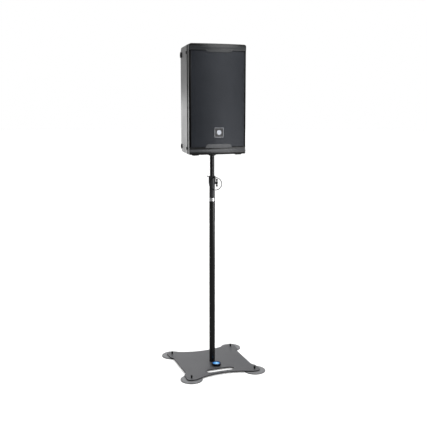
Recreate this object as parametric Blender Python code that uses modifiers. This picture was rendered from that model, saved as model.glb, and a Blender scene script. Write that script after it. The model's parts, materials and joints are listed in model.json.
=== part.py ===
"""Portable powered loudspeaker on a telescoping pole with a flat steel base.

Frame: +Z up, the loudspeaker faces -Y, origin on the floor on the pole's axis. Units are metres.
"""

import math

import bmesh
import bpy
from mathutils import Matrix, Vector

GAP = 0.0003                 # clearance between pieces that touch
MERGE = 0.00001

# Steel base and its levelling feet
PLATE_TOP = 0.0125
PLATE_THICKNESS = 0.005
LEVELLER_REACH = 0.217       # levelling screws sit at +-this in X and Y
PLATE_SIDE = 0.229           # half width of the straight left and right edges
PLATE_CORNER = 0.251         # half width over the corner lobes
PLATE_WAIST = 0.203          # front and back edges at the middle
CORNER_RADIUS = 0.029
PLATE_SAG = 0.047            # how far the front and back edges curve in
SLOT_LENGTH = 0.188
SLOT_WIDTH = 0.046
SLOT_Y = -0.152
SLOT_BEND = 0.900            # radius of the slot's gentle curve
FOOT_RADIUS = 0.071
FOOT_TOP = 0.0055
SCREW_RADIUS = 0.004
KNOB_BOTTOM = 0.0165
KNOB_TOP = 0.0302
LEVEL_CENTRE = (0.003, -0.073)
LEVEL_RADIUS = 0.028

# Telescoping pole
LOWER_TUBE_RADIUS = 0.0190
LOWER_TUBE_WALL = 0.00225
LOWER_TUBE_TOP = 1.105
UPPER_TUBE_RADIUS = 0.0146
UPPER_TUBE_WALL = 0.002
UPPER_TUBE_BOTTOM = 0.560
UPPER_TUBE_TOP = 1.480
COLLAR_SKIRT_RADIUS = 0.0180
COLLAR_HEAD_RADIUS = 0.0225
COLLAR_BOTTOM = 1.126
COLLAR_HEAD_BOTTOM = 1.2155
COLLAR_TOP = 1.268
SPIGOT_RADIUS = 0.0163
SPIGOT_BOTTOM = 1.050
CLAMP_Z = 1.2225
PIN_Z = 1.2605
PIN_RADIUS = 0.003
PIN_TURN = math.radians(15)   # the pin points forward, turned this much towards +X
PIN_EYE_REACH = 0.038
PULL_RING_RADIUS = 0.040
PULL_RING_TURN = math.radians(-19.6)
HOLE_PITCH = 0.080

# Loudspeaker cabinet
BODY_BOTTOM = 1.4145
BODY_TOP = 2.0875
HALF_FRONT = 0.1865           # half width at the front rim
SIDE_STEP = 0.0035            # the shell's sides stand this proud of the front part's
FRONT_RIM_Y = -0.0970
BAFFLE_FACE_Y = -0.0880
BAFFLE_BACK_Y = -0.0800
BODY_BACK_Y = 0.218
SHELL_FRONT_Y = -0.0500
SHELL_SEAM = 0.0012           # a thin seam is left between the baffle and the shell
HALF_BACK = 0.1385
WALL = 0.005
BOW_DEPTH = 0.0280            # the grille's middle stands this far ahead of the rim
BOW_RADIUS = 0.909
RIM_CORNER = 0.005            # the front's vertical edges, seen from above
TOP_CORNER = 0.016            # the upper corners, seen from the front
BOTTOM_CORNER = 0.008
RIM = 0.008                   # the baffle's raised edge around its sunk face
FOOT_HEIGHT = 0.0065
TOP_BAND_BOTTOM = 2.048
BOTTOM_BAND_TOP = 1.459
PLATEAU_TOP = 1.480
PLATEAU_BOTTOM_OF_TOP = 2.0365
PLATEAU_HALF = 0.077
PLATEAU_HALF_WIDE = 0.090
BADGE_Z = 1.551
BADGE_SIZE = 0.060

# Drivers
WOOFER_Z = 1.609
WOOFER_FLANGE_RADIUS = 0.153
WOOFER_HOLE_RADIUS = 0.1435
HORN_Z = 1.917
HORN_HALF_WIDTH = 0.130
HORN_HALF_HEIGHT = 0.098
HORN_FLANGE = (0.145, 0.1125)
HORN_THROAT_Y = -0.0073
HORN_THROAT_RADIUS = 0.0127
PORT_X = 0.128
PORT_Z = 1.457
PORT_RADIUS = 0.0215

# Pole socket under the cabinet
SOCKET_RADIUS = 0.0220
SOCKET_BORE = 0.0178
SOCKET_TOP = 1.492
SOCKET_FLANGE_RADIUS = 0.040
SOCKET_FLANGE = 0.004

# Amplifier panel on the back
PANEL_Z = 1.717
PANEL_HALF_WIDTH = 0.090
PANEL_HALF_HEIGHT = 0.190
PANEL_THICKNESS = 0.0025
PANEL_OUTER_Y = BODY_BACK_Y - GAP
ROCKER_TILT = math.radians(7)

# Carrying handle in the top
HANDLE_Y = 0.055
HANDLE_HALF_LENGTH = 0.075
HANDLE_HALF_WIDTH = 0.045
HANDLE_DEPTH = 0.050

COLOURS = {
    # name: (base colour, metallic, roughness)
    "black_plastic": ((0.030, 0.031, 0.033), 0.0, 0.55),
    "dark_trim": ((0.060, 0.061, 0.065), 0.0, 0.42),
    "grille_steel": ((0.028, 0.030, 0.033), 0.6, 0.50),
    "foam": ((0.012, 0.012, 0.012), 0.0, 0.95),
    "badge_black": ((0.020, 0.020, 0.022), 0.0, 0.35),
    "satin_silver": ((0.620, 0.630, 0.650), 0.9, 0.30),
    "cast_frame": ((0.050, 0.050, 0.052), 0.5, 0.50),
    "paper_cone": ((0.025, 0.025, 0.026), 0.0, 0.85),
    "rubber": ((0.018, 0.018, 0.018), 0.0, 0.80),
    "spider_cloth": ((0.420, 0.330, 0.180), 0.0, 0.90),
    "copper": ((0.720, 0.390, 0.220), 1.0, 0.35),
    "ferrite": ((0.045, 0.045, 0.048), 0.1, 0.60),
    "zinc": ((0.560, 0.560, 0.550), 1.0, 0.40),
    "board": ((0.030, 0.110, 0.060), 0.0, 0.45),
    "aluminium": ((0.540, 0.550, 0.560), 1.0, 0.38),
    "glass_black": ((0.010, 0.012, 0.016), 0.0, 0.08),
    "powder_coat": ((0.050, 0.051, 0.054), 0.3, 0.50),
    "tube_black": ((0.016, 0.016, 0.017), 0.4, 0.32),
    "cast_grey": ((0.130, 0.132, 0.138), 0.5, 0.45),
    "level_blue": ((0.020, 0.180, 0.620), 0.0, 0.12),
}

PARTS = None
CUTTERS = None


def clear_scene():
    for item in list(bpy.data.objects):
        bpy.data.objects.remove(item, do_unlink=True)


def make_collection(name):
    collection = bpy.data.collections.new(name)
    bpy.context.scene.collection.children.link(collection)
    return collection


def material(part_name, look):
    colour, metallic, roughness = COLOURS[look]
    made = bpy.data.materials.new(part_name)
    made.use_nodes = True
    shader = made.node_tree.nodes["Principled BSDF"]
    shader.inputs["Base Color"].default_value = (*colour, 1.0)
    shader.inputs["Metallic"].default_value = metallic
    shader.inputs["Roughness"].default_value = roughness
    return made


def add_part(name, mesh, look, matrix=None):
    """A named sub-part with its own material, smooth where it is round."""
    part = bpy.data.objects.new(name, mesh)
    mesh.materials.append(material(name, look))
    mesh.shade_smooth()
    mesh.set_sharp_from_angle(angle=math.radians(35))
    PARTS.objects.link(part)
    if matrix is not None:
        part.matrix_world = matrix
    return part


def add_cutter(mesh, matrix=None):
    cutter = bpy.data.objects.new("cutter", mesh)
    CUTTERS.objects.link(cutter)
    cutter.hide_render = True
    cutter.display_type = "WIRE"
    if matrix is not None:
        cutter.matrix_world = matrix
    return cutter


def combine(part, tool, operation="DIFFERENCE"):
    modifier = part.modifiers.new(operation.title(), "BOOLEAN")
    modifier.operation = operation
    modifier.solver = "EXACT"
    modifier.object = tool


def finish_mesh(bm, name):
    mesh = bpy.data.meshes.new(name)
    bm.to_mesh(mesh)
    bm.free()
    return mesh


def box_mesh(size, centre=(0, 0, 0), bevel=0.0, segments=2):
    bm = bmesh.new()
    bmesh.ops.create_cube(bm, size=1.0)
    bmesh.ops.scale(bm, vec=size, verts=bm.verts)
    bmesh.ops.translate(bm, vec=centre, verts=bm.verts)
    if bevel:
        bmesh.ops.bevel(bm, geom=bm.edges[:], offset=bevel, segments=segments, profile=0.5,
                        affect="EDGES", clamp_overlap=True)
    return finish_mesh(bm, "box")


def span_mesh(low, high, bevel=0.0, segments=2):
    """A box between two corners."""
    low, high = Vector(low), Vector(high)
    return box_mesh(high - low, (low + high) / 2, bevel, segments)


def cylinder_mesh(radius, low, high, segments=32, end_radius=None):
    """A cylinder or cone along local Z, from low to high."""
    bm = bmesh.new()
    bmesh.ops.create_cone(bm, cap_ends=True, segments=segments, radius1=radius,
                          radius2=radius if end_radius is None else end_radius, depth=high - low)
    bmesh.ops.translate(bm, vec=(0, 0, (low + high) / 2), verts=bm.verts)
    return finish_mesh(bm, "cylinder")


def turned(name, profile, look, matrix=None, segments=24, closed=True):
    """A solid of revolution: (radius, height) points down the outer side, then up the inside.

    A profile that starts and ends on the axis is left open, and the two ends weld on the axis.
    """
    bm = bmesh.new()
    points = [bm.verts.new((radius, 0.0, height)) for radius, height in profile]
    pairs = list(zip(points, points[1:]))
    if closed:
        pairs.append((points[-1], points[0]))
    for start, end in pairs:
        bm.edges.new((start, end))
    part = add_part(name, finish_mesh(bm, name), look, matrix)
    screw = part.modifiers.new("Screw", "SCREW")
    screw.steps = segments
    screw.render_steps = segments
    screw.use_merge_vertices = True
    screw.merge_threshold = MERGE
    screw.use_smooth_shade = True
    return part


def outline_mesh(points, bottom, top):
    """A flat outline in XY, raised from bottom to top."""
    curve = bpy.data.curves.new("outline", "CURVE")
    curve.dimensions = "2D"
    curve.fill_mode = "BOTH"
    curve.extrude = (top - bottom) / 2
    spline = curve.splines.new("POLY")
    spline.points.add(len(points) - 1)
    for point, (x, y) in zip(spline.points, points):
        point.co = (x, y, 0.0, 1.0)
    spline.use_cyclic_u = True
    holder = bpy.data.objects.new("outline", curve)
    bpy.context.scene.collection.objects.link(holder)
    graph = bpy.context.evaluated_depsgraph_get()
    mesh = bpy.data.meshes.new_from_object(holder.evaluated_get(graph))
    bpy.data.objects.remove(holder, do_unlink=True)
    bm = bmesh.new()
    bm.from_mesh(mesh)
    bmesh.ops.remove_doubles(bm, verts=bm.verts, dist=MERGE)
    bmesh.ops.translate(bm, vec=(0, 0, (top + bottom) / 2), verts=bm.verts)
    bmesh.ops.recalc_face_normals(bm, faces=bm.faces)
    return finish_mesh(bm, "outline")


def wire_mesh(points, radius, closed=False, resolution=2):
    """A round wire along a chain of points, its end caps welded."""
    curve = bpy.data.curves.new("wire", "CURVE")
    curve.dimensions = "3D"
    curve.bevel_depth = radius
    curve.bevel_resolution = resolution
    curve.use_fill_caps = not closed
    spline = curve.splines.new("POLY")
    spline.points.add(len(points) - 1)
    for point, place in zip(spline.points, points):
        point.co = (*place, 1.0)
    spline.use_cyclic_u = closed
    holder = bpy.data.objects.new("wire", curve)
    bpy.context.scene.collection.objects.link(holder)
    graph = bpy.context.evaluated_depsgraph_get()
    mesh = bpy.data.meshes.new_from_object(holder.evaluated_get(graph))
    bpy.data.objects.remove(holder, do_unlink=True)
    bm = bmesh.new()
    bm.from_mesh(mesh)
    bmesh.ops.remove_doubles(bm, verts=bm.verts, dist=MERGE)
    bmesh.ops.recalc_face_normals(bm, faces=bm.faces)
    return finish_mesh(bm, "wire")


def arc(centre, radius, start, end, steps):
    """Points on an arc, angles in degrees."""
    for i in range(steps + 1):
        angle = math.radians(start + (end - start) * i / steps)
        yield centre[0] + radius * math.cos(angle), centre[1] + radius * math.sin(angle)


def facing_front(x, y, z):
    """Local +Z turned to point forward (-Y)."""
    return Matrix.Translation((x, y, z)) @ Matrix.Rotation(math.radians(90), 4, "X")


def facing_back(x, y, z):
    """Local +Z turned to point backward (+Y)."""
    return Matrix.Translation((x, y, z)) @ Matrix.Rotation(math.radians(-90), 4, "X")


def half_width(y):
    """The cabinet narrows towards the back."""
    share = (y - FRONT_RIM_Y) / (BODY_BACK_Y - FRONT_RIM_Y)
    widest = HALF_FRONT + SIDE_STEP
    return widest + (HALF_BACK - widest) * share


def round_long_edges(bm, front):
    """Rounds the edges that run from front to back, the upper ones more than the lower ones."""
    middle = (BODY_BOTTOM + BODY_TOP) / 2
    for above, radius in ((True, TOP_CORNER), (False, BOTTOM_CORNER)):
        edges = [e for e in bm.edges if not all(abs(v.co.y - front) < MERGE for v in e.verts)
                 and abs(e.verts[0].co.x - e.verts[1].co.x) < 0.1
                 and abs(e.verts[0].co.y - e.verts[1].co.y) > MERGE
                 and (e.verts[0].co.z > middle) == above and (e.verts[1].co.z > middle) == above]
        bmesh.ops.bevel(bm, geom=edges, offset=radius, segments=4, profile=0.5, affect="EDGES")


def tapered_block(front, back, low, high, inset=0.0):
    """The cabinet's plan shape between two depths, as a bmesh."""
    bm = bmesh.new()
    bmesh.ops.create_cube(bm, size=1.0)
    for vert in bm.verts:
        y = front if vert.co.y < 0 else back
        vert.co.x = math.copysign(half_width(y) - inset, vert.co.x)
        vert.co.z = low if vert.co.z < 0 else high
        vert.co.y = y
    return bm


# ---------------------------------------------------------------- steel base

def plate_outline():
    """Concave sides between four rounded corner lobes, listed anticlockwise."""
    half = PLATE_CORNER - CORNER_RADIUS - 0.030
    radius = (half * half + PLATE_SAG * PLATE_SAG) / (2 * PLATE_SAG)
    quarter = []
    shoulder = 0.125                  # where the straight side starts to flare out
    quarter.append((PLATE_SIDE, shoulder))
    quarter.append((PLATE_SIDE + 0.005, shoulder + 0.014))
    quarter.append((PLATE_CORNER - 0.004, shoulder + 0.034))
    middle = PLATE_CORNER - CORNER_RADIUS
    quarter += list(arc((middle, middle), CORNER_RADIUS, -12, 90, 6))
    steps = 6
    for i in range(steps):
        x = half * (1 - i / steps)
        quarter.append((x, PLATE_WAIST + radius - math.sqrt(radius * radius - x * x)))
    points = list(quarter)
    points.append((0.0, PLATE_WAIST))
    points += [(-x, y) for x, y in reversed(quarter)]
    points += [(-x, -y) for x, y in quarter]
    points.append((0.0, -PLATE_WAIST))
    points += [(x, -y) for x, y in reversed(quarter)]
    return points


def slot_outline():
    """A carrying slot that follows the front edge's curve."""
    bend = SLOT_BEND
    centre = (0.0, SLOT_Y - bend)
    spread = math.degrees((SLOT_LENGTH - SLOT_WIDTH) / 2 / bend)
    half = SLOT_WIDTH / 2
    outer = list(arc(centre, bend + half, 90 - spread, 90 + spread, 6))
    inner = list(arc(centre, bend - half, 90 + spread, 90 - spread, 6))
    left = next(arc(centre, bend, 90 + spread, 0, 1))
    right = next(arc(centre, bend, 90 - spread, 0, 1))
    left_end = list(arc(left, half, 90 + spread, 270 + spread, 6))[1:-1]
    right_end = list(arc(right, half, 270 - spread, 450 - spread, 6))[1:-1]
    return outer + left_end + inner + right_end


def leveller_places():
    reach = LEVELLER_REACH
    return [(-reach, -reach), (reach, -reach), (reach, reach), (-reach, reach)]


def build_base():
    bottom = PLATE_TOP - PLATE_THICKNESS
    plate = add_part("base_plate", outline_mesh(plate_outline(), bottom, PLATE_TOP),
                     "powder_coat")
    combine(plate, add_cutter(outline_mesh(slot_outline(), bottom - 0.01, PLATE_TOP + 0.01)))
    for x, y in leveller_places():
        hole = cylinder_mesh(SCREW_RADIUS + 0.0005, bottom - 0.01, PLATE_TOP + 0.01, 12)
        combine(plate, add_cutter(hole, Matrix.Translation((x, y, 0))))
    combine(plate, add_cutter(cylinder_mesh(0.0065, bottom - 0.01, PLATE_TOP + 0.01, 16)))

    foot_profile = [(0.0, FOOT_TOP), (FOOT_RADIUS - 0.007, FOOT_TOP), (FOOT_RADIUS - 0.006, 0.0042),
                    (FOOT_RADIUS - 0.0005, 0.0042), (FOOT_RADIUS, 0.0), (0.0, 0.0)]
    screw_profile = [(0.0, KNOB_TOP), (0.0050, KNOB_TOP), (0.0064, KNOB_TOP - 0.0014),
                     (0.0064, KNOB_BOTTOM + 0.001), (0.0056, KNOB_BOTTOM),
                     (SCREW_RADIUS, KNOB_BOTTOM), (SCREW_RADIUS, FOOT_TOP + GAP),
                     (0.0, FOOT_TOP + GAP)]
    for index, (x, y) in enumerate(leveller_places(), start=1):
        place = Matrix.Translation((x, y, 0))
        turned(f"foot_disc_{index}", foot_profile, "powder_coat", place, 28, closed=False)
        turned(f"leveling_knob_{index}", screw_profile, "rubber", place, 14, closed=False)

    level_floor = PLATE_TOP + GAP
    turned("bubble_level",
           [(0.0, level_floor + 0.0150), (0.012, level_floor + 0.0143),
            (0.0205, level_floor + 0.0120), (0.0225, level_floor + 0.0125),
            (LEVEL_RADIUS - 0.001, level_floor + 0.0120), (LEVEL_RADIUS, level_floor + 0.0105),
            (LEVEL_RADIUS, level_floor), (0.0, level_floor)],
           "level_blue", Matrix.Translation((*LEVEL_CENTRE, 0)), 24, closed=False)


# ---------------------------------------------------------------- pole

def pin_direction():
    return Vector((math.sin(PIN_TURN), -math.cos(PIN_TURN), 0.0))


def along(direction, z):
    """Local +Z laid along a level direction, from the pole's axis at height z."""
    turn = Vector((0, 0, 1)).rotation_difference(direction).to_matrix().to_4x4()
    return Matrix.Translation((0, 0, z)) @ turn


def build_pole():
    plug = 0.020
    bolt_hole = 0.0063
    inner = LOWER_TUBE_RADIUS - LOWER_TUBE_WALL
    foot = PLATE_TOP + GAP
    turned("lower_tube",
           [(inner, LOWER_TUBE_TOP), (LOWER_TUBE_RADIUS, LOWER_TUBE_TOP),
            (LOWER_TUBE_RADIUS, foot), (bolt_hole, foot), (bolt_hole, foot + plug),
            (inner, foot + plug)], "tube_black")
    plate_bottom = PLATE_TOP - PLATE_THICKNESS
    turned("pole_bolt",
           [(0.0, foot + plug - 0.002), (0.0058, foot + plug - 0.002),
            (0.0058, plate_bottom - GAP), (0.0135, plate_bottom - GAP),
            (0.0125, plate_bottom - 0.0055), (0.0, plate_bottom - 0.0055)], "zinc",
           segments=24, closed=False)

    turned("tube_band",
           [(inner - 0.0001, COLLAR_BOTTOM - GAP), (LOWER_TUBE_RADIUS + 0.0001, COLLAR_BOTTOM - GAP),
            (LOWER_TUBE_RADIUS + 0.0001, LOWER_TUBE_TOP + GAP),
            (inner - 0.0001, LOWER_TUBE_TOP + GAP)], "satin_silver")

    bore = UPPER_TUBE_RADIUS + 0.0004
    collar = turned("collar",
                    [(bore, COLLAR_TOP), (COLLAR_HEAD_RADIUS - 0.002, COLLAR_TOP),
                     (COLLAR_HEAD_RADIUS, COLLAR_TOP - 0.002),
                     (COLLAR_HEAD_RADIUS, COLLAR_HEAD_BOTTOM + 0.004),
                     (COLLAR_SKIRT_RADIUS, COLLAR_HEAD_BOTTOM),
                     (COLLAR_SKIRT_RADIUS, COLLAR_BOTTOM), (SPIGOT_RADIUS, COLLAR_BOTTOM),
                     (SPIGOT_RADIUS, SPIGOT_BOTTOM), (bore, SPIGOT_BOTTOM)],
                    "cast_grey")
    to_right = along(Vector((1, 0, 0)), CLAMP_Z)
    boss = cylinder_mesh(0.0095, 0.0120, 0.0240, 18)
    combine(collar, add_cutter(boss, to_right), "UNION")
    pin_boss = cylinder_mesh(0.0060, 0.0160, 0.0245, 14)
    combine(collar, add_cutter(pin_boss, along(pin_direction(), PIN_Z)), "UNION")
    hook = box_mesh((0.020, 0.008, 0.0065), (-0.0265, 0.0, 0.0), 0.0015, 1)
    tilt = Matrix.Translation((0, 0, COLLAR_TOP - 0.0095)) @ Matrix.Rotation(math.radians(16), 4, "Y")
    combine(collar, add_cutter(hook, tilt), "UNION")
    combine(collar, add_cutter(cylinder_mesh(bore + 0.0002, SPIGOT_BOTTOM - 0.01, COLLAR_TOP + 0.01, 24)))
    combine(collar, add_cutter(cylinder_mesh(0.0043, 0.010, 0.030, 12), to_right))
    combine(collar, add_cutter(cylinder_mesh(PIN_RADIUS + 0.0003, 0.010, 0.030, 12),
                               along(pin_direction(), PIN_Z)))

    build_clamp_knob(to_right)
    build_safety_pin()

    upper = turned("upper_tube",
                   [(UPPER_TUBE_RADIUS - UPPER_TUBE_WALL, UPPER_TUBE_TOP),
                    (UPPER_TUBE_RADIUS, UPPER_TUBE_TOP), (UPPER_TUBE_RADIUS, UPPER_TUBE_BOTTOM),
                    (UPPER_TUBE_RADIUS - UPPER_TUBE_WALL, UPPER_TUBE_BOTTOM)],
                   "tube_black")
    for row in range(5):
        hole = cylinder_mesh(PIN_RADIUS + 0.0006, 0.005, 0.020, 8)
        combine(upper, add_cutter(hole, along(pin_direction(), PIN_Z - row * HOLE_PITCH)))
    bush_low = UPPER_TUBE_BOTTOM + 0.002
    turned("guide_bush",
           [(UPPER_TUBE_RADIUS + GAP, bush_low + 0.040), (inner - 0.0005, bush_low + 0.040),
            (inner - 0.0005, bush_low), (UPPER_TUBE_RADIUS + GAP, bush_low)],
           "black_plastic")

    flange_bottom = BODY_BOTTOM - SOCKET_FLANGE
    turned("pole_adapter",
           [(0.0, UPPER_TUBE_TOP + 0.005), (0.0160, UPPER_TUBE_TOP + 0.005),
            (SOCKET_BORE - 0.0004, UPPER_TUBE_TOP + 0.0035),
            (SOCKET_BORE - 0.0004, flange_bottom - GAP), (0.0245, flange_bottom - GAP),
            (0.0245, flange_bottom - 0.008), (0.0225, flange_bottom - 0.010),
            (UPPER_TUBE_RADIUS + 0.0004, flange_bottom - 0.010),
            (UPPER_TUBE_RADIUS + 0.0004, UPPER_TUBE_TOP + GAP), (0.0, UPPER_TUBE_TOP + GAP)],
           "black_plastic", closed=False)


def build_clamp_knob(placement):
    """A wing knob: hub, two rounded wings and a screw that reaches the upper tube."""
    bm = bmesh.new()
    bmesh.ops.create_cone(bm, cap_ends=True, segments=16, radius1=0.0080, radius2=0.0065,
                          depth=0.0130, matrix=Matrix.Translation((0, 0, 0.0308)))
    knob = add_part("clamp_knob", finish_mesh(bm, "clamp_knob"), "black_plastic", placement)
    for side in (-1, 1):
        wing = box_mesh((0.016, 0.0075, 0.0085), (side * 0.010, 0, 0.0325), 0.002, 1)
        combine(knob, add_cutter(wing, placement), "UNION")
        lobe = bmesh.new()
        bmesh.ops.create_uvsphere(lobe, u_segments=12, v_segments=8, radius=0.0068,
                                  matrix=Matrix.Translation((side * 0.0195, 0, 0.0325)))
        combine(knob, add_cutter(finish_mesh(lobe, "lobe"), placement), "UNION")
    shank = cylinder_mesh(0.0038, UPPER_TUBE_RADIUS + GAP, 0.0255, 12)
    combine(knob, add_cutter(shank, placement), "UNION")


def build_safety_pin():
    """A straight pin with a ball end that is drilled for its pull ring."""
    placement = along(pin_direction(), PIN_Z)
    tip = UPPER_TUBE_RADIUS + 0.0006
    eye = 0.0060
    pin = turned("safety_pin",
                 [(0.0, PIN_EYE_REACH - eye + 0.001), (0.0040, PIN_EYE_REACH - eye + 0.001),
                  (0.0040, 0.0252), (PIN_RADIUS, 0.0250), (PIN_RADIUS, tip + 0.001),
                  (PIN_RADIUS - 0.001, tip), (0.0, tip)], "zinc", placement, 12, closed=False)
    ball = bmesh.new()
    bmesh.ops.create_uvsphere(ball, u_segments=12, v_segments=8, radius=eye,
                              matrix=Matrix.Translation((0, 0, PIN_EYE_REACH)))
    combine(pin, add_cutter(finish_mesh(ball, "ball"), placement), "UNION")
    centre = pin_direction() * PIN_EYE_REACH + Vector((0, 0, PIN_Z))
    ring_turn = Matrix.Rotation(PULL_RING_TURN, 4, "Z")
    through = Matrix.Translation(centre) @ ring_turn @ Matrix.Rotation(math.radians(90), 4, "Y")
    combine(pin, add_cutter(cylinder_mesh(0.0027, -0.01, 0.01, 10), through))

    steps = 36
    ring_points = [(PULL_RING_RADIUS * math.sin(2 * math.pi * i / steps), 0.0,
                    PULL_RING_RADIUS * (math.cos(2 * math.pi * i / steps) - 1)) for i in range(steps)]
    ring = wire_mesh(ring_points, 0.0018, closed=True, resolution=1)
    add_part("pin_ring", ring, "tube_black", Matrix.Translation(centre) @ ring_turn)


# ---------------------------------------------------------------- cabinet

def build_cabinet():
    bm = tapered_block(SHELL_FRONT_Y, BODY_BACK_Y, BODY_BOTTOM, BODY_TOP)

    def back_edge(level):
        return [e for e in bm.edges if all(abs(v.co.y - BODY_BACK_Y) < MERGE
                                           and abs(v.co.z - level) < MERGE for v in e.verts)]

    bmesh.ops.bevel(bm, geom=back_edge(BODY_BOTTOM), offset=0.020, segments=1, affect="EDGES")
    bmesh.ops.bevel(bm, geom=back_edge(BODY_TOP), offset=0.010, segments=1, affect="EDGES")
    round_long_edges(bm, SHELL_FRONT_Y)
    mouth = [f for f in bm.faces if all(abs(v.co.y - SHELL_FRONT_Y) < MERGE for v in f.verts)]
    bmesh.ops.delete(bm, geom=mouth, context="FACES")
    shell = add_part("cabinet_shell", finish_mesh(bm, "cabinet_shell"), "black_plastic")
    thick = shell.modifiers.new("Solidify", "SOLIDIFY")
    thick.thickness = WALL
    thick.offset = -1.0
    thick.use_even_offset = True

    panel_recess = span_mesh((-PANEL_HALF_WIDTH - GAP, PANEL_OUTER_Y - PANEL_THICKNESS - GAP,
                              PANEL_Z - PANEL_HALF_HEIGHT - GAP),
                             (PANEL_HALF_WIDTH + GAP, BODY_BACK_Y + 0.01,
                              PANEL_Z + PANEL_HALF_HEIGHT + GAP))
    combine(shell, add_cutter(panel_recess))
    lip = 0.008
    panel_window = span_mesh((-PANEL_HALF_WIDTH + lip, BODY_BACK_Y - 0.02,
                              PANEL_Z - PANEL_HALF_HEIGHT + lip),
                             (PANEL_HALF_WIDTH - lip, BODY_BACK_Y + 0.02,
                              PANEL_Z + PANEL_HALF_HEIGHT - lip))
    combine(shell, add_cutter(panel_window))
    handle_hole = span_mesh((-HANDLE_HALF_LENGTH - GAP, HANDLE_Y - HANDLE_HALF_WIDTH - GAP,
                             BODY_TOP - 0.02),
                            (HANDLE_HALF_LENGTH + GAP, HANDLE_Y + HANDLE_HALF_WIDTH + GAP,
                             BODY_TOP + 0.01))
    combine(shell, add_cutter(handle_hole))
    combine(shell, add_cutter(cylinder_mesh(SOCKET_RADIUS + GAP, BODY_BOTTOM - 0.01,
                                            BODY_BOTTOM + 0.02, 24)))


def build_baffle():
    tray_back = SHELL_FRONT_Y - SHELL_SEAM
    bm = tapered_block(FRONT_RIM_Y, tray_back, BODY_BOTTOM, BODY_TOP, SIDE_STEP)
    round_long_edges(bm, FRONT_RIM_Y - 1.0)
    baffle = add_part("baffle", finish_mesh(bm, "baffle"), "black_plastic")
    pocket = span_mesh((-HALF_FRONT + RIM, FRONT_RIM_Y - 0.02, BODY_BOTTOM + RIM),
                       (HALF_FRONT - RIM, BAFFLE_FACE_Y, BODY_TOP - RIM))
    combine(baffle, add_cutter(pocket))
    inside = half_width(tray_back) - SIDE_STEP - RIM
    tray = span_mesh((-inside, BAFFLE_BACK_Y, BODY_BOTTOM + RIM), (inside, tray_back + 0.02, BODY_TOP - RIM))
    combine(baffle, add_cutter(tray))
    combine(baffle, add_cutter(cylinder_mesh(WOOFER_HOLE_RADIUS, 0.05, 0.12, 36),
                               facing_front(0, 0, WOOFER_Z)))
    mouth = [superellipse(HORN_HALF_WIDTH + 0.0045, HORN_HALF_HEIGHT + 0.0045, 7.0, i / 32)
             for i in range(32)]
    combine(baffle, add_cutter(outline_mesh(mouth, 0.05, 0.12), facing_front(0, 0, HORN_Z)))
    for side in (-1, 1):
        combine(baffle, add_cutter(cylinder_mesh(PORT_RADIUS + 2 * GAP, 0.05, 0.12, 24),
                                   facing_front(side * PORT_X, 0, PORT_Z)))


def front_outline():
    """The cabinet seen from the front, about its own middle, with rounded corners."""
    high = (BODY_TOP - BODY_BOTTOM) / 2
    wide = HALF_FRONT + GAP
    points = []
    for turn, (side, level) in enumerate(((1, 1), (-1, 1), (-1, -1), (1, -1))):
        radius = TOP_CORNER if level > 0 else BOTTOM_CORNER
        middle = (side * (wide - radius), level * (high - radius))
        points += list(arc(middle, radius, 90 * turn, 90 * turn + 90, 5))
    return points


def front_curve(half, inward=0.0, steps=16):
    """The bowed front in plan, between its rounded ends, as (x, y) points."""
    crown = FRONT_RIM_Y - BOW_DEPTH

    def bow(x):
        return crown + x * x / (2 * BOW_RADIUS)

    flat = HALF_FRONT - RIM_CORNER
    points = []
    if half >= HALF_FRONT:
        points += [(HALF_FRONT - inward, FRONT_RIM_Y - GAP)]
        points += [(x, y) for x, y in arc((flat, bow(flat) + RIM_CORNER), RIM_CORNER - inward, 0, -80, 4)]
        half = flat
    for i in range(steps + 1):
        x = half - 2 * half * i / steps
        points.append((x, bow(x) + inward))
    if len(points) > steps + 1:
        points += [(-x, y) for x, y in reversed(points[:6])]
    return points


def sheet_mesh(points, low, high):
    """An open sheet standing on a plan curve."""
    bm = bmesh.new()
    feet = [bm.verts.new((x, y, low)) for x, y in points]
    edges = [bm.edges.new(pair) for pair in zip(feet, feet[1:])]
    raised = bmesh.ops.extrude_edge_only(bm, edges=edges)["geom"]
    moved = [v for v in raised if isinstance(v, bmesh.types.BMVert)]
    bmesh.ops.translate(bm, vec=(0, 0, high - low), verts=moved)
    bmesh.ops.recalc_face_normals(bm, faces=bm.faces)
    if sum(f.normal.y for f in bm.faces) > 0:
        bmesh.ops.reverse_faces(bm, faces=bm.faces)
    return finish_mesh(bm, "sheet")


def solidify(part, thickness):
    thick = part.modifiers.new("Solidify", "SOLIDIFY")
    thick.thickness = thickness
    thick.offset = -1.0
    thick.use_even_offset = True


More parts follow.
